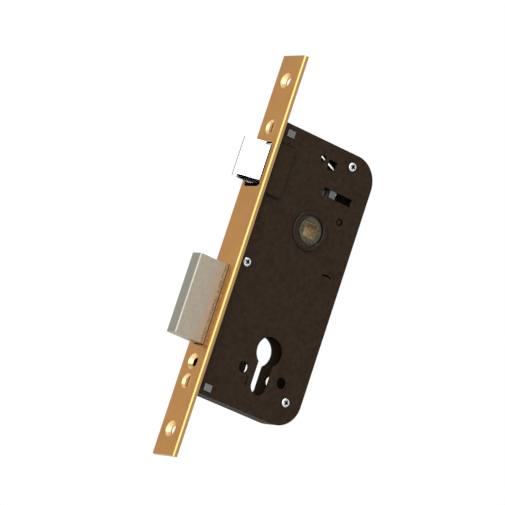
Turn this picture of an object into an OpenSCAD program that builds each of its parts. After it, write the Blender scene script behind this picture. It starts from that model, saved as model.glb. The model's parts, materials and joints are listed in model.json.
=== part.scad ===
// Mortise lock with a bevelled latch, a square deadbolt, an 8 mm follower and a euro-profile cylinder
// cut-out. X = 0 is the faceplate's front face, +X runs into the door (the backset direction), +Z is up
// along the faceplate and Y crosses the door's thickness, with the screwed cover on the -Y side.
// At rest the latch is out and the deadbolt is thrown. All sizes are millimetres.

/* [Faceplate] */
// Length of the faceplate
faceplate_h = 235; // [230:1:250]
// Width of the faceplate
faceplate_w = 22; // [22:0.5:25]
// Thickness of the faceplate
faceplate_t = 2.8; // [2.6:0.1:3]
// Radius along the faceplate's two long front edges
edge_r = 1.4; // [0.8:0.1:1.6]
// Distance between the two wood-screw holes
wood_screw_spacing = 205; // [200:1:210]

/* [Case] */
// Height of the case's top edge above the faceplate's middle
case_top = 80; // [80:0.5:82]
// Depth of the case's bottom edge below the faceplate's middle
case_foot = 79.3; // [79.3:0.1:82]
// Distance from the faceplate's front to the case's back edge
case_back = 72.6; // [72.6:0.1:76]
// Thickness of the case over its two flat plates
case_t = 12; // [12:0.1:12.4]
// Thickness of the sheet steel
sheet_t = 1.2; // [1:0.1:1.2]
// Radius of the case's two back corners
corner_r = 15; // [12:1:16]
// Height of the pressed bulge that clears the latch head
bulge_h = 1.6; // [1.6:0.1:1.8]

/* [Follower and cylinder] */
// Distance from the faceplate's front to the spindle and to the cylinder
backset = 42; // [42:0.1:42.4]
// Height of the spindle above the faceplate's middle
spindle_z = 29.2; // [29:0.1:29.4]
// Distance from the spindle's centre to the cylinder's
centre_distance = 72; // [71.5:0.1:72.5]
// Side of the spindle's square
spindle_square = 8; // [7:0.5:9]
// Radius of the round part of the cylinder cut-out
cylinder_r = 8.75; // [8.6:0.05:8.8]
// Width of the straight part of the cylinder cut-out
cylinder_slot_w = 10.5; // [10.2:0.1:10.6]
// Distance between the two escutcheon screw holes
escutcheon_spacing = 27; // [27:0.5:28]

/* [Latch] */
// How far the latch head stands out of the faceplate
latch_out = 10.4; // [10:0.1:10.4]
// Width of the latch head across the door
latch_w = 12.5; // [11:0.1:12.5]
// Height of the latch head
latch_h = 23.3; // [22:0.1:23.5]
// Height of the latch head's middle
latch_z = 53.65; // [53.4:0.05:53.8]

/* [Deadbolt] */
// How far the deadbolt stands out of the faceplate
bolt_out = 19.5; // [19:0.1:19.5]
// Thickness of the deadbolt
bolt_w = 9.1; // [8.5:0.1:9.2]
// Top of the deadbolt, from the faceplate's middle
bolt_top = -7.1; // [-7.5:0.1:-7]
// Bottom of the deadbolt, from the faceplate's middle
bolt_foot = -53.2; // [-53.4:0.1:-52.8]

/* [Hidden] */
$fn = 64;

// Small working allowances
cut = 0.5;              // how far a cutter runs past a face
fit_gap = 0.05;         // radial clearance of a pin in its hole
slide_gap = 0.15;       // clearance where one moving piece pushes another
wire_taper = 0.02;      // how much thinner a spring's straight leg is than its coil

// Planes across the door's thickness
outer_y = case_t / 2;
inner_y = outer_y - sheet_t;

// Faceplate holes
screw_z = 74.8;
cylinder_screw_z = -63.3;
wood_hole_r = 2.5;
wood_sink_r = 4.5;
fixing_core_r = 1.7;
fixing_hole_r = 2.1;
fixing_sink_r = 4.2;
fixing_head_x = 1.2;                               // how deep the heads sit below the front face
cylinder_screw_r = 2.6;
cylinder_sink_r = 4.5;
latch_slot = [15, 39.6, 65.9, 2];                  // width, foot, top and corner radius
bolt_slot_gap = 0.4;

// Threaded lugs that take the faceplate screws
lug_len = 11.8;
lug_half_h = 3.2;
tenon = [5, 4];
tenon_x = 10.6;
tenon_proud = 0.4;

// Cover screws and their pillars
pillar_at = [[55.8, 72.8], [9.3, -1.5], [62, -65.3]];
pillar_r = 3;
rivet_end_r = 1.9;
rivet_end_proud = 0.2;
cover_screw_r = 1.35;
cover_head_r = 2.5;
cover_head_h = 0.8;

// Pressed bulge over the latch head
bulge_end = 17;
bulge_z = [37.2, 68.4];
bulge_r = 3;

// Follower
hub_r = 7.3;
hub_proud = 0.4;
bush_r = 8.55;
bush_sink = 0.5;
collar_r = 11.6;
collar_h = 1.1;
flange_r = 12.4;
flange_y = 1.8;
lobe_r = 17.5;
lobe_tip_r = 2.5;
lobe_arm_w = 3.6;
lean = asin(latch_out / 2 / lobe_r);               // the lobe leans this far each side of upright
pin_orbit = 10;
pin_r = 1.9;

// Cylinder cut-out
cylinder_z = spindle_z - centre_distance;
cylinder_foot = cylinder_z - 25.2;
escutcheon_z = -56.2;
escutcheon_r = 3.25;

// Latch tail and its guide
tail_z = 53.3;
tail_h = 7;
tail_y = 1.5;
tail_end = 54;
tab_foot = 44.6;
tab_w = 4;
tab_x = backset - lobe_r * sin(lean) + lobe_tip_r + slide_gap;
tail_start = 2;
neck_end = 9;
neck_w = 9.1;
latch_rivet_x = 6.5;
head_end = 3.2;
latch_wall = 1.6;
latch_trim = 1.6;
latch_notch = [2, 1.8];                            // length and height of the step at the head's root
nose_flat = 1.25;
guide_pin_w = 4.1;
guide_pin_x = 48.9;
guide_slot = [42.3, 62.4, 4.5];                    // ends and height
guide_x = 20;
guide_t = 2.6;

// Latch spring: a straight leg on a sloped line, a coil on the line, and an arm behind the guide pin
leg_through = [37.6, 70.4];
leg_angle = -22.8;
leg_far_x = 20;
wire_r = 0.65;
coil_r = 3.9;
coil_x = 59;
latch_leg_r = 0.85;
latch_wire_y = -3.9;
latch_arm_y = -2.3;
arm_angle = 251.4;
arm_len = 19;
leg_normal = [-sin(leg_angle), cos(leg_angle)];
coil_foot = [coil_x, leg_through[1] + (coil_x - leg_through[0]) * tan(leg_angle)];
coil_at = coil_foot + coil_r * leg_normal;
stop_r = 1.7;
stop_x = 23;
stop_at = [stop_x, leg_through[1] + (stop_x - leg_through[0]) * tan(leg_angle)]
    - (latch_leg_r + stop_r + fit_gap) * leg_normal;

// Follower spring: a coil round the hub, a leg on the spring post and an arm behind the lobe
spring_post_at = [58.9, 40.8];
spring_post_r = 2.1;
spring_post_end_r = 1.4;
spring_post_sink = 0.4;
hub_coil_r = 9.3;
hub_wire_r = 0.6;
hub_leg_y = 4.05;
hub_arm_y = 2.75;
hub_leg_angle = 15.7;
hub_leg_len = 23;
hook_orbit = 13.3;

// Deadbolt tail
bolt_body_end = 4.5;
bolt_block = [13, -49, -12];                       // end, foot and top
bolt_bevel = 0.5;
bolt_tail_start = 6;
bolt_tail_end = 50.5;
bolt_tail_foot = -31;
bolt_tail_y = 1.25;
bolt_tail_top = -10;
bolt_rivet_at = [[9.5, -18], [9.5, -26]];
bolt_rivet_r = 1.6;
bolt_post_at = [36, -19];
bolt_post_r = 2.5;
cam_notch = [28.5, 35.5, -26.5];                   // ends and top
ramp_rise = 3;

// Levers on one post behind the follower
lever_at = [60, -6];
lever_post_r = 2.5;
lever_boss_r = 4.5;
lever_y = [-4.3, -2.3];
detent_y = [2, 4.2];
detent_nose_x = 34;
detent_nose_r = 1.5;
detent_wire_r = 0.45;
detent_coil_r = 3.3;
detent_coil_y = [-1.3, -0.5];
detent_arm_y = 0.5;
detent_leg = [70, 20];                             // angle and length of the fixed leg
detent_arm = [184.2, 16];                          // angle and length of the moving leg
detent_arm_h = 4;
lever_line = atan2(lever_at[1] - spindle_z, lever_at[0] - backset);
pin_at = [backset, spindle_z] + pin_orbit * [cos(lever_line + lean), sin(lever_line + lean)];
fork_angle = atan2(pin_at[1] - lever_at[1], pin_at[0] - lever_at[0]);
fork_end = 31.6;
fork_w = 7.8;
fork_web = 2.5;
lever_w = 5.6;
cam_end = [[54.5, -32], [51.8, -35.5], [51.8, -39.5], [57, -40.5], [59.8, -36]];
fork_slot_w = 2 * pin_r + 0.5;
fork_slot_start = 27;

// Colours
brass = [0.74, 0.54, 0.32];
brown = [0.2, 0.16, 0.13];
zinc = [0.8, 0.81, 0.83];
steel = [0.55, 0.57, 0.6];
nickel = [0.66, 0.63, 0.58];
chrome = [0.93, 0.94, 0.95];
yellow_zinc = [0.56, 0.48, 0.3];
black = [0.06, 0.06, 0.06];

// Plain post between the plates, riveted into the back plate
module post(at, r) {
    rod_y(at, r, -inner_y, inner_y);
    rod_y(at, rivet_end_r, inner_y, outer_y + rivet_end_proud);
}

// A flat outline in the X-Z plane, thickened from y0 to y1
module slab(y0, y1) { translate([0, y1, 0]) rotate([90, 0, 0]) linear_extrude(y1 - y0) children(); }

// A round rod along Y
module rod_y(at, r, y0, y1) { translate([at[0], y1, at[1]]) rotate([90, 0, 0]) cylinder(r = r, h = y1 - y0); }

// A round rod along X at the faceplate's middle line
module rod_x(z, r, x0, x1) { translate([x0, 0, z]) rotate([0, 90, 0]) cylinder(r = r, h = x1 - x0); }

// A cone along X that is r0 at x0 and r1 at x1
module cone_x(z, r0, r1, x0, x1) {
    translate([x0, 0, z]) rotate([0, 90, 0]) cylinder(r1 = r0, r2 = r1, h = x1 - x0);
}

// Screw hole through the faceplate with a 45 degree countersink
module sunk_hole(z, hole_r, sink_r) {
    rod_x(z, hole_r, -cut, faceplate_t + cut);
    cone_x(z, sink_r + cut, hole_r, -cut, sink_r - hole_r);
}

// Straight wire at depth y from a point, along an angle in the X-Z plane, a hair thinner than its coil
module wire(from, angle, len, r, y) {
    translate([from[0], y, from[1]]) rotate([0, 90 - angle, 0]) cylinder(r = r - wire_taper, h = len);
}

// One turn of a coil round a rod along Y
module turn(at, coil, r, y) {
    translate([at[0], y, at[1]]) rotate([90, 0, 0]) rotate_extrude() translate([coil, 0]) circle(r = r);
}

// Rectangle with one corner radius, given by its two corners
module round_rect(lo, hi, r) {
    translate([lo[0] + r, lo[1]]) square([hi[0] - lo[0] - 2 * r, hi[1] - lo[1]]);
    translate([lo[0], lo[1] + r]) square([hi[0] - lo[0], hi[1] - lo[1] - 2 * r]);
    for (x = [lo[0] + r, hi[0] - r], z = [lo[1] + r, hi[1] - r]) translate([x, z]) circle(r = r);
}

// Level slot with round ends between two centres
module round_slot(x0, x1, z, r) {
    translate([x0, z - r]) square([x1 - x0, 2 * r]);
    for (x = [x0, x1]) translate([x, z]) circle(r = r);
}

// Bar of width w from a point, along an angle
module bar(from, angle, len, w) { translate(from) rotate(angle) translate([0, -w / 2]) square([len, w]); }

// Side view of the case, drawn in by inset
module case_outline(inset) {
    corner_x = case_back - corner_r;
    low = corner_r - case_foot;
    high = case_top - corner_r;
    translate([faceplate_t, inset - case_foot])
        square([corner_x - faceplate_t, case_top + case_foot - 2 * inset]);
    translate([faceplate_t, low]) square([case_back - inset - faceplate_t, high - low]);
    for (z = [low, high]) translate([corner_x, z]) circle(r = corner_r - inset);
}

// Pressed bulge on the -Y side that rises from y0 to y1 with sloping sides, drawn in by inset
module bulge(y0, y1, inset) {
    rise = (y0 - y1) / 2;
    far = bulge_end - inset;
    lo = bulge_z[0] + inset;
    hi = bulge_z[1] - inset;
    intersection() {
        translate([0, 0, lo]) linear_extrude(hi - lo)
            polygon([[faceplate_t, y0], [faceplate_t, y1], [far - rise, y1], [far, y0]]);
        translate([faceplate_t, 0, 0]) rotate([90, 0, 90]) linear_extrude(far - faceplate_t)
            polygon([[y0, lo], [y1, lo + rise], [y1, hi - rise], [y0, hi]]);
        slab(y1 - cut, y0 + cut) round_rect([faceplate_t - 2 * bulge_r, lo], [far, hi], bulge_r);
    }
}

// Rounded collar pressed up round the follower hole on the -Y side
module collar() {
    mid = (collar_r + bush_r) / 2;
    translate([backset, -outer_y, spindle_z]) rotate([90, 0, 0]) rotate_extrude()
        polygon([for (a = [0:15:180]) [mid + (collar_r - bush_r) / 2 * cos(a), collar_h * sin(a)]]);
}

// Euro-profile cut-out
module cylinder_outline() {
    slot_r = cylinder_slot_w / 2;
    slot_end = cylinder_foot + slot_r;
    translate([backset, cylinder_z]) circle(r = cylinder_r);
    translate([backset - slot_r, slot_end]) square([cylinder_slot_w, cylinder_z - slot_end]);
    translate([backset, slot_end]) circle(r = slot_r);
}

// Openings that both plates share
module plate_openings() {
    cylinder_outline();
    translate([backset, spindle_z]) circle(r = bush_r + fit_gap);
    for (side = [-1, 1]) {
        translate([backset + side * escutcheon_spacing / 2, escutcheon_z]) circle(r = escutcheon_r);
        translate([tenon_x, side * screw_z]) square(tenon + fit_gap * [2, 2], center = true);
    }
}

// Openings that only the cover has: guide slot, spring windows, post end, arc slit and short slit
module cover_openings() {
    round_at = [36.1, 70.1];
    round_r = 2.05;
    square_at = [42.8, 68.4];
    square_side = 5.7;
    arc_at = [62, 3.4];
    arc_r = [6, 7];
    arc_wedge = [4.2, 7.7];                            // half width and height of what bounds the arc
    slit_at = [32.8, -65.4];
    slit = [0.6, 5.6];
    translate([guide_slot[0], tail_z - guide_slot[2] / 2])
        square([guide_slot[1] - guide_slot[0], guide_slot[2]]);
    translate(round_at) circle(r = round_r);
    translate(square_at) square(square_side, center = true);
    translate(spring_post_at) circle(r = spring_post_r + fit_gap);
    translate(arc_at) intersection() {
        difference() { circle(r = arc_r[1]); circle(r = arc_r[0]); }
        polygon([[0, 0], [-arc_wedge[0], arc_wedge[1]], arc_wedge]);
    }
    translate(slit_at) square(slit);
    for (at = pillar_at) translate(at) circle(r = cover_screw_r + 2 * fit_gap);
}

module faceplate() color(brass) difference() {
    half = faceplate_w / 2;
    translate([0, 0, -faceplate_h / 2]) linear_extrude(faceplate_h) {
        translate([edge_r, -half]) square([faceplate_t - edge_r, faceplate_w]);
        translate([0, edge_r - half]) square([faceplate_t, faceplate_w - 2 * edge_r]);
        for (side = [-1, 1]) translate([edge_r, side * (half - edge_r)]) circle(r = edge_r);
    }
    for (side = [-1, 1]) {
        sunk_hole(side * wood_screw_spacing / 2, wood_hole_r, wood_sink_r);
        sunk_hole(side * screw_z, fixing_hole_r, fixing_sink_r);
    }
    sunk_hole(cylinder_screw_z, cylinder_screw_r, cylinder_sink_r);
    translate([-cut, 0, 0]) rotate([90, 0, 90]) linear_extrude(faceplate_t + 2 * cut)
        round_rect([-latch_slot[0] / 2, latch_slot[1]], [latch_slot[0] / 2, latch_slot[2]], latch_slot[3]);
    translate([-cut, -bolt_w / 2 - bolt_slot_gap, bolt_foot - bolt_slot_gap])
        cube([faceplate_t + 2 * cut, bolt_w + 2 * bolt_slot_gap, bolt_top - bolt_foot + 2 * bolt_slot_gap]);
}

module faceplate_screws() color(brass) for (side = [-1, 1]) difference() {
    z = side * screw_z;
    head_r = fixing_sink_r - fixing_head_x - 2 * fit_gap;
    under_head = fixing_head_x + head_r - fixing_core_r;
    slot_w = 0.9;
    slot_deep = 0.6;
    union() {
        cone_x(z, head_r, fixing_core_r, fixing_head_x, under_head);
        rod_x(z, fixing_core_r, under_head - fit_gap, faceplate_t + lug_len - fixing_core_r);
    }
    translate([fixing_head_x - cut, -slot_w / 2, z - head_r]) cube([slot_deep + cut, slot_w, 2 * head_r]);
}

module case_tray() color(brown) {
    difference() {
        union() {
            slab(-inner_y, outer_y) case_outline(0);
            mirror([0, 1, 0]) collar();
            mirror([0, 1, 0]) bulge(-outer_y + cut, -outer_y - bulge_h, 0);
        }
        slab(-inner_y - cut, inner_y) case_outline(sheet_t);
        mirror([0, 1, 0]) bulge(-inner_y + cut, -inner_y - bulge_h, sheet_t);
        translate([faceplate_t - cut, -inner_y - cut, sheet_t - case_foot])
            cube([2 * cut, 2 * inner_y + cut, case_top + case_foot - 2 * sheet_t]);
        slab(inner_y - cut, outer_y + collar_h + cut) plate_openings();
        for (at = concat(pillar_at, [spring_post_at, coil_at, stop_at, bolt_post_at, lever_at]))
            rod_y(at, rivet_end_r + fit_gap, inner_y - cut, outer_y + cut);
    }
}

module cover_plate() color(brown) difference() {
    union() {
        slab(-outer_y, -inner_y) case_outline(0);
        collar();
        bulge(-outer_y + cut, -outer_y - bulge_h, 0);
    }
    bulge(-inner_y + cut, -inner_y - bulge_h, sheet_t);
    slab(-outer_y - collar_h - cut, -inner_y + cut) { plate_openings(); cover_openings(); }
}

module cover_pillars() color(steel) for (at = pillar_at) difference() {
    post(at, pillar_r);
    rod_y(at, cover_screw_r + fit_gap, -inner_y - cut, inner_y - sheet_t);
}

module cover_screws() color(zinc) for (at = pillar_at) difference() {
    recess = [3, 0.95, 1];                             // length, width and depth of the cross
    cross_angle = 20;
    union() {
        rod_y(at, cover_screw_r, -outer_y, inner_y - 2 * sheet_t);
        rod_y(at, cover_head_r, -outer_y - cover_head_h / 2, -outer_y);
        translate([at[0], -outer_y - cover_head_h / 2, at[1]]) rotate([90, 0, 0])
            cylinder(r1 = cover_head_r, r2 = cover_head_r - cover_head_h / 2, h = cover_head_h / 2);
    }
    for (angle = [cross_angle, cross_angle + 90])
        translate([at[0], -outer_y - cover_head_h, at[1]]) rotate([0, angle, 0])
            cube([recess[0], 2 * recess[2], recess[1]], center = true);
    rod_y(at, recess[1], -outer_y - cover_head_h - cut, recess[2] - outer_y - cover_head_h);
}

// Square threaded lug between the plates, with a tenon through each
module lug(side) difference() {
    z = side * screw_z;
    union() {
        translate([faceplate_t, -inner_y, z - lug_half_h]) cube([lug_len, 2 * inner_y, 2 * lug_half_h]);
        translate([tenon_x - tenon[0] / 2, -outer_y - tenon_proud, z - tenon[1] / 2])
            cube([tenon[0], 2 * (outer_y + tenon_proud), tenon[1]]);
    }
    rod_x(z, fixing_core_r + fit_gap, faceplate_t - cut, faceplate_t + lug_len + cut);
}

module upper_lug() color(steel) lug(1);

module lower_lug() color(steel) lug(-1);

module follower_bushes() color(black) for (side = [-1, 1]) {
    near = inner_y - 2 * slide_gap;
    mirror([0, side > 0 ? 1 : 0, 0]) difference() {
        rod_y([backset, spindle_z], bush_r, -outer_y + bush_sink, -near);
        rod_y([backset, spindle_z], hub_r + fit_gap, -outer_y - cut, -near + cut);
    }
}

module follower() color(yellow_zinc) difference() {
    hub = [backset, spindle_z];
    union() {
        rod_y(hub, hub_r, -outer_y - hub_proud, outer_y + hub_proud);
        rod_y(hub, flange_r, -flange_y, flange_y);
        slab(-flange_y, flange_y) {
            bar(hub, 90 + lean, lobe_r, lobe_arm_w);
            translate(hub + lobe_r * [-sin(lean), cos(lean)]) circle(r = lobe_tip_r);
        }
    }
    translate([backset, 0, spindle_z])
        cube([spindle_square, 2 * (outer_y + hub_proud + cut), spindle_square], center = true);
    rod_y(pin_at, pin_r - 2 * fit_gap, -flange_y - cut, flange_y + cut);
}

module follower_pin() color(steel) {
    rod_y(pin_at, pin_r, lever_y[0], -flange_y);
    rod_y(pin_at, pin_r - 3 * fit_gap, -flange_y, flange_y);
}

module follower_spring() color(steel) {
    hub = [backset, spindle_z];
    start = hub + hub_coil_r * [-sin(hub_leg_angle), cos(hub_leg_angle)];
    turn(hub, hub_coil_r, hub_wire_r, hub_leg_y);
    wire(start, hub_leg_angle, hub_leg_len, hub_wire_r, hub_leg_y);
}

module follower_spring_arm() color(steel) {
    hub = [backset, spindle_z];
    side = lobe_arm_w / 2 + hub_wire_r + fit_gap;
    along = [-sin(lean), cos(lean)];
    across = [cos(lean), sin(lean)];
    start = hub + side * across + hub_coil_r * along;
    turn(hub, hub_coil_r, hub_wire_r, hub_arm_y);
    wire(start, 90 + lean, hook_orbit - hub_coil_r, hub_wire_r, hub_arm_y);
    rod_y(hub + side * across + hook_orbit * along, hub_wire_r, -flange_y, hub_arm_y);
}

module spring_post() color(brown) {
    post(spring_post_at, spring_post_r);
    rod_y(spring_post_at, spring_post_end_r, -outer_y + spring_post_sink, -inner_y);
}

module latch_head() color(chrome) {
    half = latch_w / 2;
    foot = latch_z - latch_h / 2;
    top = latch_z + latch_h / 2;
    slope = atan2(latch_w - nose_flat, latch_out);
    wall_x = latch_wall / sin(slope);
    root = 1;                                          // where the hollow ends
    trim = 2;                                          // how far the trimmed foot runs past the hollow
    nose = [-latch_out + wall_x + (latch_wall - nose_flat) / tan(slope), half - latch_wall];
    near = [root, -half + (wall_x - root) * tan(slope)];
    difference() {
        union() {
            translate([0, 0, foot]) linear_extrude(latch_h)
                polygon([[-latch_out, half], [-latch_out, half - nose_flat], [0, -half],
                    [head_end, -half], [head_end, half]]);
            translate([head_end, -neck_w / 2, foot + latch_wall])
                cube([neck_end - head_end, neck_w, latch_h - 2 * latch_wall]);
        }
        translate([0, 0, foot - cut]) linear_extrude(latch_h + 2 * cut)
            polygon([nose, near, [root, half - latch_wall]]);
        translate([0, 0, foot - cut]) linear_extrude(latch_trim + cut)
            polygon([nose - [trim, trim], nose, near, [root, -half - cut], [-trim, -half - cut]]);
        translate([-latch_notch[0], -half - cut, top - latch_notch[1]])
            cube([latch_notch[0] + cut, latch_w / 2, latch_notch[1] + cut]);
        translate([tail_start, -tail_y, tail_z - tail_h / 2]) cube([neck_end, 2 * tail_y, tail_h]);
        rod_y([latch_rivet_x, tail_z], bolt_rivet_r + fit_gap, -half, half);
    }
}

module latch_tail() color(steel) slab(-tail_y, tail_y) difference() {
    union() {
        translate([tail_start, tail_z - tail_h / 2]) square([tail_end - tail_start, tail_h]);
        translate([tab_x, tab_foot]) square([tab_w, tail_z - tab_foot]);
    }
    translate([guide_pin_x, tail_z]) square(guide_pin_w, center = true);
    translate([latch_rivet_x, tail_z]) circle(r = bolt_rivet_r + fit_gap);
}

module latch_rivet() color(steel) rod_y([latch_rivet_x, tail_z], bolt_rivet_r, -neck_w / 2, neck_w / 2);

module latch_guide_pin() color(zinc)
    translate([guide_pin_x - guide_pin_w / 2, -outer_y, tail_z - guide_pin_w / 2])
        cube([guide_pin_w, outer_y + 2 * tail_y, guide_pin_w]);

module latch_guide() color(steel) difference() {
    height = 17;
    translate([guide_x, -inner_y, tail_z - height / 2]) cube([guide_t, 2 * inner_y, height]);
    translate([guide_x - cut, -tail_y - slide_gap, tail_z - tail_h / 2 - slide_gap])
        cube([guide_t + 2 * cut, 2 * (tail_y + slide_gap), tail_h + 2 * slide_gap]);
}

module latch_spring() color(steel) {
    turn(coil_at, coil_r, latch_leg_r, latch_wire_y);
    wire(coil_foot, leg_angle + 180, (coil_x - leg_far_x) / cos(leg_angle), latch_leg_r, latch_wire_y);
}

module latch_spring_arm() color(steel) {
    turn(coil_at, coil_r, wire_r, latch_arm_y);
    wire(coil_at + coil_r * [sin(arm_angle), -cos(arm_angle)], arm_angle, arm_len, wire_r, latch_arm_y);
}

module latch_spring_post() color(steel) post(coil_at, coil_r - wire_r - 2 * slide_gap);

module latch_spring_stop() color(steel) post(stop_at, stop_r);

module bolt_head() color(nickel) difference() {
    half = bolt_w / 2;
    union() {
        translate([0, 0, bolt_foot]) linear_extrude(bolt_top - bolt_foot)
            polygon([[-bolt_out, bolt_bevel - half], [bolt_bevel - bolt_out, -half], [bolt_body_end, -half],
                [bolt_body_end, half], [bolt_bevel - bolt_out, half], [-bolt_out, half - bolt_bevel]]);
        translate([bolt_body_end - fit_gap, -half, bolt_block[1]])
            cube([bolt_block[0] - bolt_body_end + fit_gap, bolt_w, bolt_block[2] - bolt_block[1]]);
    }
    translate([bolt_tail_start, -bolt_tail_y, bolt_tail_foot])
        cube([bolt_block[0], 2 * bolt_tail_y, bolt_block[2] - bolt_tail_foot + cut]);
    for (at = bolt_rivet_at) rod_y(at, bolt_rivet_r + fit_gap, -half - cut, half + cut);
}

module bolt_tail() color(steel) slab(-bolt_tail_y, bolt_tail_y) difference() {
    slope = ramp_rise / bolt_out;
    ramp_end = detent_nose_x + 4;
    ramp_start = bolt_block[0] + slide_gap;
    ramp_foot = bolt_tail_top - (ramp_end - detent_nose_x) * slope;
    polygon([[bolt_tail_start, bolt_tail_foot], [bolt_tail_end, bolt_tail_foot], [bolt_tail_end, ramp_foot],
        [ramp_end, ramp_foot], [ramp_start, bolt_tail_top + (detent_nose_x - ramp_start) * slope],
        [ramp_start, bolt_block[2]], [bolt_tail_start, bolt_block[2]]]);
    translate([cam_notch[0], bolt_tail_foot - cut])
        square([cam_notch[1] - cam_notch[0], cam_notch[2] - bolt_tail_foot + cut]);
    round_slot(bolt_post_at[0] - bolt_out, bolt_post_at[0], bolt_post_at[1], bolt_post_r + slide_gap);
    for (at = bolt_rivet_at) translate(at) circle(r = bolt_rivet_r + fit_gap);
}

module bolt_rivets() color(steel) for (at = bolt_rivet_at) rod_y(at, bolt_rivet_r, -bolt_w / 2, bolt_w / 2);

module bolt_guide_post() color(steel) post(bolt_post_at, bolt_post_r);

module lever_post() color(steel) post(lever_at, lever_post_r);

// Fork round the follower's pin above, and below an end in the path of the cylinder's cam
module changeover_lever() color(steel) slab(lever_y[0], lever_y[1]) difference() {
    along = [cos(fork_angle), sin(fork_angle)];
    fork_root = fork_slot_start - fork_web;
    half_w = [lever_w / 2, 0];
    union() {
        translate(lever_at) circle(r = lever_boss_r);
        bar(lever_at, fork_angle, fork_slot_start, lever_w);
        bar(lever_at + fork_root * along, fork_angle, fork_end - fork_root, fork_w);
        polygon(concat([lever_at + half_w, lever_at - half_w], cam_end));
    }
    translate(lever_at) circle(r = lever_post_r + fit_gap);
    bar(lever_at + fork_slot_start * along, fork_angle, fork_end, fork_slot_w);
}

module detent_lever() color(steel) {
    nose_z = bolt_tail_top + detent_nose_r + slide_gap;
    slab(detent_y[0], detent_y[1]) difference() {
        union() {
            translate(lever_at) circle(r = lever_boss_r);
            translate([detent_nose_x, nose_z]) square([lever_at[0] - detent_nose_x, detent_arm_h]);
        }
        translate(lever_at) circle(r = lever_post_r + fit_gap);
    }
    rod_y([detent_nose_x, nose_z], detent_nose_r, -bolt_tail_y, detent_y[1]);
}

module detent_spring() color(steel) {
    for (y = detent_coil_y) turn(lever_at, detent_coil_r, detent_wire_r, y);
    wire(lever_at + [detent_coil_r, 0], detent_leg[0], detent_leg[1], detent_wire_r, detent_coil_y[0]);
}

module detent_spring_arm() color(steel) {
    start = lever_at + [0, detent_coil_r];
    end = start + detent_arm[1] * [cos(detent_arm[0]), sin(detent_arm[0])];
    turn(lever_at, detent_coil_r, detent_wire_r, detent_arm_y);
    wire(start, detent_arm[0], detent_arm[1], detent_wire_r, detent_arm_y);
    rod_y(end, detent_wire_r, detent_arm_y, detent_y[1]);
}

faceplate();
faceplate_screws();
case_tray();
cover_plate();
cover_pillars();
cover_screws();
upper_lug();
lower_lug();
follower_bushes();
follower();
follower_pin();
follower_spring();
follower_spring_arm();
spring_post();
latch_head();
latch_tail();
latch_rivet();
latch_guide_pin();
latch_guide();
latch_spring();
latch_spring_arm();
latch_spring_post();
latch_spring_stop();
bolt_head();
bolt_tail();
bolt_rivets();
bolt_guide_post();
changeover_lever();
detent_lever();
detent_spring();
detent_spring_arm();
lever_post();
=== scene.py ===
"""A mortise lock: brass faceplate, dark painted case, chromed latch and satin-nickel deadbolt."""

import json
import math

import bpy
from mathutils import Matrix, Vector


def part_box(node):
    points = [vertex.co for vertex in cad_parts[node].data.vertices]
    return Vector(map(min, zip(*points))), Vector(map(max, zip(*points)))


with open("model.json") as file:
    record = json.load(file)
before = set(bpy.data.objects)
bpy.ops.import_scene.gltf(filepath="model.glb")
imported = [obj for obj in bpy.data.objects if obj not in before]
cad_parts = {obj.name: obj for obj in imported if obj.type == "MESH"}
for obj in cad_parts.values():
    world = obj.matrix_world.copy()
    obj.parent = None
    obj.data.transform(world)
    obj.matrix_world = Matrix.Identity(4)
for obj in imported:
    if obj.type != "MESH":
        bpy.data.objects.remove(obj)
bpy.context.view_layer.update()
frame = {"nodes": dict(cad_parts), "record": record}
nodes = frame["nodes"]
mounts = {mount["name"]: mount for mount in frame["record"]["mounts"]}


# --- Sizes and places, in metres -------------------------------------------------------------------

LOCK_MIDDLE = Vector((0.03, 0, 0))  # what the lights look at
FLOOR_Z = -0.42
FLOOR_SIDE = 12
SPINDLE_HALF = 0.00405  # half the follower's square hole and 0.05 mm over, so that its walls are inside
COLLAR_INNER = 0.0084  # two radii with the pressed collar between them
COLLAR_OUTER = 0.0122
WORN_AND_LIT_EDGE = 0.0012  # how far the paler band along the faceplate's long edges reaches in: partly wear, partly a painted highlight
COUNTERSINK_DEPTH = 0.002  # the cones end 1.9 to 2.1 mm behind the front face
WOOD_SINK = 0.0045  # mouth radii of the countersinks in the faceplate
CYLINDER_SINK = 0.0045
FIXING_SINK = 0.0042
BOLT_BEVEL = 0.0005  # width of the bevels on the two upright edges of the bolt's end
RUBBED_STRIP = ((-0.0026, -0.0021), (-0.0009, -0.0006))  # X where the bolt's rubbed strip fades in and out
TIP_SHADE_LINE = (0.00008, 0.00002)  # distance from the latch's tip where its painted shade fades in
SOFT = 0.0001  # half the width of a border between two tones


# --- Camera, lights, floor -------------------------------------------------------------------------

KEY_LIGHT = {"direction": (-0.63, -0.75, 0.18), "distance": 1.2, "size": 1.5, "watts": 22}
TOP_LIGHT = {"direction": (-0.29, -0.38, 0.87), "distance": 1.2, "size": 0.16, "watts": 5}
WORLD_STRENGTH = 1.0
CAMERA_AZIMUTH = 0.5563141  # radians round +Z from +Y towards +X
CAMERA_RISE = 0.1768299  # radians that the camera looks upwards
CAMERA_ROLL = 0.3185064
CAMERA_DISTANCE = 2.14786
CAMERA_OFFSET = (-0.0130953, -0.0002869)  # the frame's origin, from the picture's centre
LENS_MM = 277.79575
SENSOR_MM = 36.0


def look_axes():
    """The camera's right, up and forward directions in the row frame."""
    forward = Vector(
        (
            math.cos(CAMERA_RISE) * math.sin(CAMERA_AZIMUTH),
            math.cos(CAMERA_RISE) * math.cos(CAMERA_AZIMUTH),
            math.sin(CAMERA_RISE),
        )
    )
    level = forward.cross(Vector((0, 0, 1))).normalized()
    upright = level.cross(forward)
    right = math.cos(CAMERA_ROLL) * level + math.sin(CAMERA_ROLL) * upright
    up = math.cos(CAMERA_ROLL) * upright - math.sin(CAMERA_ROLL) * level
    return right, up, forward


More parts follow.
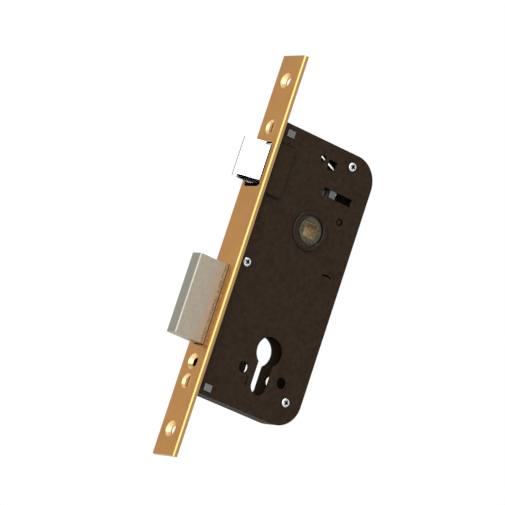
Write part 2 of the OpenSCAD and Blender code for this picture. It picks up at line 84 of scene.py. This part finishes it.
def make_camera():
    right, up, forward = look_axes()
    data = bpy.data.cameras.new("camera")
    data.sensor_width = SENSOR_MM
    data.lens = LENS_MM
    data.clip_start = 0.05
    data.clip_end = 50
    camera = bpy.data.objects.new("camera", data)
    place = -CAMERA_OFFSET[0] * right - CAMERA_OFFSET[1] * up - CAMERA_DISTANCE * forward
    turn = Matrix((right, up, -forward)).transposed()
    camera.matrix_world = Matrix.Translation(place) @ turn.to_4x4()
    bpy.context.scene.collection.objects.link(camera)
    bpy.context.scene.camera = camera


def area_light(name, direction, distance, size, watts):
    """A square soft light that looks back at the lock from a direction."""
    data = bpy.data.lights.new(name, "AREA")
    data.shape = "SQUARE"
    data.size = size
    data.energy = watts
    light = bpy.data.objects.new(name, data)
    away = Vector(direction).normalized()
    light.location = LOCK_MIDDLE + away * distance
    light.rotation_euler = away.to_track_quat("Z", "Y").to_euler()
    bpy.context.scene.collection.objects.link(light)


def make_world():
    world = bpy.data.worlds.new("studio")
    world.use_nodes = True
    background = world.node_tree.nodes["Background"]
    background.inputs["Color"].default_value = (1, 1, 1, 1)
    background.inputs["Strength"].default_value = WORLD_STRENGTH
    bpy.context.scene.world = world
    bpy.context.scene.view_settings.view_transform = "Standard"


def make_floor():
    bpy.ops.mesh.primitive_plane_add(size=FLOOR_SIDE, location=(0, 0, FLOOR_Z))
    floor = bpy.context.object
    floor.name = "floor"
    floor.data.materials.append(plain("floor_pale", (0.86, 0.86, 0.85), 0.0, 0.7))


# --- Material building blocks ----------------------------------------------------------------------


def plain(name, colour, metallic, roughness):
    material = bpy.data.materials.new(name)
    material.use_nodes = True
    shader = material.node_tree.nodes["Principled BSDF"]
    shader.inputs["Base Color"].default_value = (*colour, 1)
    shader.inputs["Metallic"].default_value = metallic
    shader.inputs["Roughness"].default_value = roughness
    return material


class Surface:
    """A principled material that is built up from procedural layers in the row frame's coordinates."""

    def __init__(self, name, metallic, specular=0.5):
        self.material = bpy.data.materials.new(name)
        self.material.use_nodes = True
        self.tree = self.material.node_tree
        self.shader = self.tree.nodes["Principled BSDF"]
        self.shader.inputs["Metallic"].default_value = metallic
        self.shader.inputs["Specular IOR Level"].default_value = specular
        self.place = self.tree.nodes.new("ShaderNodeTexCoord").outputs["Object"]

    def join(self, source, target):
        self.tree.links.new(source, target)

    def noise(self, scale, stretch=(1, 1, 1), detail=3.0, rough=0.55):
        """Noise from 0 to 1; a stretch under 1 draws it out along that axis."""
        mapping = self.tree.nodes.new("ShaderNodeMapping")
        mapping.inputs["Scale"].default_value = stretch
        self.join(self.place, mapping.inputs["Vector"])
        noise = self.tree.nodes.new("ShaderNodeTexNoise")
        noise.inputs["Scale"].default_value = scale
        noise.inputs["Detail"].default_value = detail
        noise.inputs["Roughness"].default_value = rough
        self.join(mapping.outputs["Vector"], noise.inputs["Vector"])
        return noise.outputs["Fac"]

    def axis(self, letter):
        split = self.tree.nodes.new("ShaderNodeSeparateXYZ")
        self.join(self.place, split.inputs["Vector"])
        return split.outputs[letter]

    def span(self, value, low, high, to_low=0.0, to_high=1.0):
        """A value's stretch from low to high, mapped to another stretch and clamped to it."""
        step = self.tree.nodes.new("ShaderNodeMapRange")
        for name, number in (
            ("From Min", low),
            ("From Max", high),
            ("To Min", to_low),
            ("To Max", to_high),
        ):
            step.inputs[name].default_value = number
        self.join(value, step.inputs["Value"])
        return step.outputs["Result"]

    def times(self, first, *others):
        """The product of any number of masks."""
        for other in others:
            node = self.tree.nodes.new("ShaderNodeMath")
            node.operation = "MULTIPLY"
            self.join(first, node.inputs[0])
            self.join(other, node.inputs[1])
            first = node.outputs["Value"]
        return first

    def blend(self, amount, first, second):
        """Goes from the first colour to the second as amount goes from 0 to 1."""
        mix = self.tree.nodes.new("ShaderNodeMix")
        mix.data_type = "RGBA"
        factor, a, b = mix.inputs["Factor"], mix.inputs[6], mix.inputs[7]
        self.join(amount, factor)
        for value, target in ((first, a), (second, b)):
            if isinstance(value, tuple):
                target.default_value = (*value, 1)
            else:
                self.join(value, target)
        return mix.outputs[2]

    def near(self, point, low, high):
        """1 within low of a point and 0 beyond high."""
        distance = self.tree.nodes.new("ShaderNodeVectorMath")
        distance.operation = "DISTANCE"
        self.join(self.place, distance.inputs[0])
        distance.inputs[1].default_value = point
        return self.span(distance.outputs["Value"], low, high, 1.0, 0.0)

    def in_square(self, centre_x, centre_z, half):
        """1 inside a square that runs along Y."""
        sides = []
        for letter, centre in (("X", centre_x), ("Z", centre_z)):
            away = self.tree.nodes.new("ShaderNodeMath")
            away.operation = "COMPARE"
            self.join(self.axis(letter), away.inputs[0])
            away.inputs[1].default_value = centre
            away.inputs[2].default_value = half
            sides.append(away.outputs["Value"])
        return self.times(*sides)

    def ring(self, centre_x, centre_z, inner, outer, soft=0.0003):
        """1 between two radii round an axis along Y, with soft edges."""
        flat = self.tree.nodes.new("ShaderNodeVectorMath")
        flat.operation = "MULTIPLY"
        self.join(self.place, flat.inputs[0])
        flat.inputs[1].default_value = (1, 0, 1)
        distance = self.tree.nodes.new("ShaderNodeVectorMath")
        distance.operation = "DISTANCE"
        self.join(flat.outputs["Vector"], distance.inputs[0])
        distance.inputs[1].default_value = (centre_x, 0, centre_z)
        rise = self.span(distance.outputs["Value"], inner, inner + soft)
        fall = self.span(distance.outputs["Value"], outer - soft, outer, 1.0, 0.0)
        return self.times(rise, fall)

    def open_air(self, reach, low=0.35, high=0.9):
        """1 where a surface is open and 0 deep in a corner, a slot or a hole; the mask for the painted
        shade in corners.
        """
        cavity = self.tree.nodes.new("ShaderNodeAmbientOcclusion")
        cavity.samples = 8
        cavity.inputs["Distance"].default_value = reach
        return self.span(cavity.outputs["AO"], low, high)

    def colour(self, socket, corner_shade=None, reach=0.0015, low=0.35, high=0.9):
        """Sets the base colour, going to a darker shade colour in corners, slots and holes by ambient
        occlusion if one is given: painted shade.
        """
        if corner_shade:
            # painted shade: ambient occlusion darkens corners, slots and holes towards the shade colour
            socket = self.blend(self.open_air(reach, low, high), corner_shade, socket)
        self.join(socket, self.shader.inputs["Base Color"])

    def roughness(self, value, low, high):
        self.join(self.span(value, 0.3, 0.7, low, high), self.shader.inputs["Roughness"])

    def bump(self, value, depth):
        bump = self.tree.nodes.new("ShaderNodeBump")
        bump.inputs["Strength"].default_value = 1.0
        bump.inputs["Distance"].default_value = depth
        self.join(value, bump.inputs["Height"])
        self.join(bump.outputs["Normal"], self.shader.inputs["Normal"])


# --- Materials -------------------------------------------------------------------------------------


def brushed(name, dark, light, corner_shade=None, roughness=(0.22, 0.36), grain=(1, 1, 1)):
    """Brushed metal whose fine streaks run along the axis that grain draws out."""
    surface = Surface(name, metallic=1.0)
    streaks = surface.noise(2600, grain, 4)
    patches = surface.noise(60, detail=2)
    streak_part = surface.span(streaks, 0.3, 0.7, 0.55, 1.0)
    patch_part = surface.span(patches, 0.3, 0.7, 0.6, 1.0)
    tone = surface.blend(surface.times(streak_part, patch_part), dark, light)
    # painted shade in corners and recesses when a shade colour is given
    surface.colour(tone, corner_shade, 0.002, 0.45, 0.95)
    surface.roughness(streaks, *roughness)
    surface.bump(streaks, 0.00001)
    return surface.material


def countersinks():
    """The height and mouth radius of each countersink in the faceplate."""
    wood = mounts["wood_screws"]["dims"]["spacing_y_mm"] / 2000
    cylinder = mounts["cylinder_screw"]["pos_m"][2]
    lug_low, lug_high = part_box("upper_lug")
    fixing = (lug_low.z + lug_high.z) / 2
    return [
        (wood, WOOD_SINK),
        (-wood, WOOD_SINK),
        (cylinder, CYLINDER_SINK),
        (fixing, FIXING_SINK),
        (-fixing, FIXING_SINK),
    ]


def faceplate_brass():
    """Brushed brass with patchy lacquer; paler long edges that are partly wear and partly a painted
    highlight; side faces painted paler as painted light; countersinks painted paler as machined brass and a
    painted highlight; painted shade in corners.
    """
    surface = Surface("faceplate_brass", metallic=1.0)
    low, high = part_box("faceplate")
    streaks = surface.noise(2600, (1, 1, 0.02), 4)
    patches = surface.noise(45, detail=2)
    grain = surface.span(streaks, 0.3, 0.7)
    thick = surface.blend(grain, (0.408, 0.194, 0.054), (0.466, 0.227, 0.063))
    thin = surface.blend(grain, (0.446, 0.217, 0.059), (0.504, 0.250, 0.068))
    tone = surface.blend(surface.span(patches, 0.35, 0.65), thick, thin)
    y = surface.axis("Y")
    by_front = surface.span(surface.axis("X"), low.x + WORN_AND_LIT_EDGE + SOFT, low.x + WORN_AND_LIT_EDGE - SOFT)
    for side in (low.y, high.y):
        inward = WORN_AND_LIT_EDGE if side < 0 else -WORN_AND_LIT_EDGE
        # paler brass along the long front edges: partly wear, partly a painted highlight on the rounded
        # edges
        worn_lit_edge = surface.times(by_front, surface.span(y, side + inward, side + inward / 2))
        tone = surface.blend(worn_lit_edge, tone, (0.52, 0.285, 0.095))
        # the long side faces are painted a paler, greener brass: painted light on those faces
        lit_side_face = surface.span(y, side + inward / 8, side + inward / 16)
        tone = surface.blend(lit_side_face, tone, (0.40, 0.250, 0.100))
    cone_foot = low.x + COUNTERSINK_DEPTH
    in_cone = surface.span(surface.axis("X"), cone_foot + SOFT, cone_foot - SOFT)
    for height, radius in countersinks():
        # countersink cones painted a paler brass: partly bare machined brass, partly a painted highlight
        machined_lit_cone = surface.times(in_cone, surface.near((low.x, 0, height), radius, radius + 2 * SOFT))
        tone = surface.blend(machined_lit_cone, tone, (0.72, 0.50, 0.24))
    # painted shade: dark brown in corners by ambient occlusion
    surface.colour(tone, (0.02, 0.012, 0.005), 0.0012)
    surface.roughness(streaks, 0.24, 0.36)
    surface.bump(streaks, 0.000008)
    return surface.material


def screw_brass():
    surface = Surface("screw_brass", metallic=1.0)
    grain = surface.noise(1600)
    tone = surface.blend(surface.span(grain, 0.3, 0.7), (0.44, 0.21, 0.07), (0.60, 0.33, 0.12))
    # painted shade: dark brown in corners by ambient occlusion
    surface.colour(tone, (0.06, 0.025, 0.008), 0.0007, 0.45, 0.85)
    surface.roughness(grain, 0.2, 0.32)
    return surface.material


def case_paint():
    """Baked brown paint, rougher on the flats than on the pressed collar."""
    surface = Surface("case_paint", metallic=0.0, specular=0.07)
    bush_low, bush_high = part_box("follower_bushes")
    cover_low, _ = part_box("cover_plate")
    mottle = surface.noise(420, detail=3)
    skin = surface.noise(1400, detail=2)
    tone = surface.blend(surface.span(mottle, 0.3, 0.7), (0.0104, 0.0052, 0.0018), (0.0164, 0.0104, 0.0064))
    # painted shade: near black in corners and recesses by ambient occlusion
    surface.colour(tone, (0.0015, 0.001, 0.0008), 0.005, 0.5, 0.95)
    middle = (bush_low + bush_high) / 2
    collar = surface.ring(middle.x, middle.z, COLLAR_INNER, COLLAR_OUTER)
    cover_face = mounts["escutcheon_screws"]["pos_m"][1]
    halfway_up = (cover_low.y + cover_face) / 2
    raised = surface.times(collar, surface.span(surface.axis("Y"), cover_face, halfway_up))
    surface.join(surface.span(raised, 0.0, 1.0, 0.6, 0.2), surface.shader.inputs["Roughness"])
    surface.bump(skin, 0.00001)
    return surface.material


def latch_chrome():
    """Polished chrome, with the flat tip of its nose painted a darker grey as painted shade."""
    surface = Surface("latch_chrome", metallic=1.0)
    scratches = surface.noise(900, (1, 1, 0.05), 3)
    low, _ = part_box("latch_head")
    tone = surface.blend(surface.span(scratches, 0.3, 0.7), (0.62, 0.645, 0.65), (0.68, 0.70, 0.705))
    # painted shade: the latch's flat tip face is painted a darker grey
    tip_shade = surface.span(surface.axis("X"), low.x + TIP_SHADE_LINE[0], low.x + TIP_SHADE_LINE[1])
    tone = surface.blend(tip_shade, tone, (0.34, 0.35, 0.36))
    # painted shade: dark grey in corners by ambient occlusion
    surface.colour(tone, (0.02, 0.02, 0.02))
    surface.roughness(scratches, 0.08, 0.18)
    surface.bump(scratches, 0.000004)
    return surface.material


def bolt_nickel():
    """Satin nickel, ground darker on its bevelled end, with a ragged rubbed strip by the faceplate."""
    surface = Surface("bolt_nickel", metallic=1.0)
    low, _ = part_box("bolt_head")
    streaks = surface.noise(1800, (1, 1, 0.25), 4)
    specks = surface.noise(1500, detail=4, rough=0.7)
    ragged = surface.noise(900, (1, 1, 0.3), 3)
    x = surface.axis("X")
    tone = surface.blend(surface.span(streaks, 0.3, 0.7), (0.310, 0.272, 0.212), (0.385, 0.338, 0.275))
    rubbed = surface.blend(surface.span(specks, 0.4, 0.6), (0.055, 0.055, 0.050), (0.34, 0.33, 0.30))
    fade_in, fade_out = RUBBED_STRIP
    strip = surface.times(
        surface.span(x, *fade_in),
        surface.span(x, *fade_out, 1.0, 0.0),
        surface.span(ragged, 0.34, 0.46),
    )
    tone = surface.blend(strip, tone, rubbed)
    ground = surface.span(x, low.x + BOLT_BEVEL, low.x + BOLT_BEVEL - SOFT)
    tone = surface.blend(ground, tone, (0.28, 0.27, 0.235))
    # painted shade: dark in corners by ambient occlusion
    surface.colour(tone, (0.02, 0.018, 0.015), 0.001)
    surface.roughness(streaks, 0.40, 0.54)
    surface.bump(streaks, 0.00001)
    return surface.material


def lug_zinc():
    # the last colour is painted shade in corners by ambient occlusion
    return brushed("lug_zinc", (0.085, 0.095, 0.10), (0.22, 0.22, 0.215), (0.01, 0.01, 0.01))


def pin_zinc():
    # the last colour is painted shade in corners by ambient occlusion
    return brushed("pin_zinc", (0.06, 0.066, 0.07), (0.165, 0.17, 0.17), (0.006, 0.006, 0.006))


def screw_zinc():
    """Bright zinc, painted darker in the cross recess by ambient occlusion: painted shade."""
    surface = Surface("screw_zinc", metallic=1.0)
    grain = surface.noise(1500)
    tone = surface.blend(surface.span(grain, 0.3, 0.7), (0.48, 0.51, 0.53), (0.66, 0.68, 0.70))
    # painted shade: dark in the cross recess and corners by ambient occlusion
    surface.colour(tone, (0.012, 0.018, 0.025), 0.0025, 0.65, 0.97)
    surface.roughness(grain, 0.22, 0.36)
    return surface.material


def plain_steel():
    dark, light = (0.08, 0.085, 0.09), (0.20, 0.205, 0.21)
    # the last colour is painted shade in corners by ambient occlusion
    return brushed("plain_steel", dark, light, (0.01, 0.01, 0.01), grain=(0.05, 1, 1))


def spring_wire():
    return brushed("spring_wire", (0.88, 0.86, 0.82), (0.98, 0.97, 0.94))


def follower_zinc():
    """A dull passivated hub whose square hole is rubbed to a golden brown by the spindle."""
    surface = Surface("follower_zinc", metallic=1.0)
    low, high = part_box("follower_bushes")
    stain = surface.noise(700, detail=4, rough=0.6)
    grain = surface.noise(1600, detail=3)
    dull = surface.blend(surface.span(stain, 0.3, 0.7), (0.042, 0.039, 0.022), (0.112, 0.098, 0.065))
    golden = surface.blend(surface.span(stain, 0.3, 0.7), (0.17, 0.115, 0.055), (0.46, 0.32, 0.165))
    middle = (low + high) / 2
    in_hole = surface.in_square(middle.x, middle.z, SPINDLE_HALF)
    surface.colour(surface.blend(in_hole, dull, golden))
    surface.roughness(grain, 0.4, 0.6)
    surface.bump(grain, 0.00002)
    return surface.material


def bush_nylon():
    surface = Surface("bush_nylon", metallic=0.0, specular=0.4)
    grain = surface.noise(1200)
    surface.colour(surface.blend(grain, (0.006, 0.006, 0.006), (0.012, 0.011, 0.010)))
    surface.roughness(grain, 0.35, 0.5)
    return surface.material


FINISHES = {
    faceplate_brass: ["faceplate"],
    screw_brass: ["faceplate_screws"],
    case_paint: ["case_tray", "cover_plate", "spring_post"],
    screw_zinc: ["cover_screws"],
    lug_zinc: ["upper_lug", "lower_lug"],
    pin_zinc: ["latch_guide_pin"],
    plain_steel: [
        "cover_pillars",
        "follower_pin",
        "latch_tail",
        "latch_rivet",
        "latch_guide",
        "latch_spring_post",
        "latch_spring_stop",
        "bolt_tail",
        "bolt_rivets",
        "bolt_guide_post",
        "changeover_lever",
        "detent_lever",
        "lever_post",
    ],
    spring_wire: [
        "follower_spring",
        "follower_spring_arm",
        "latch_spring",
        "latch_spring_arm",
        "detent_spring",
        "detent_spring_arm",
    ],
    bush_nylon: ["follower_bushes"],
    follower_zinc: ["follower"],
    latch_chrome: ["latch_head"],
    bolt_nickel: ["bolt_head"],
}


def dress_nodes():
    for make, names in FINISHES.items():
        material = make()
        for name in names:
            mesh = nodes[name].data
            mesh.materials.clear()
            mesh.materials.append(material)


# --- The scene -------------------------------------------------------------------------------------

make_camera()
make_world()
make_floor()
area_light("key", **KEY_LIGHT)
area_light("top", **TOP_LIGHT)
dress_nodes()
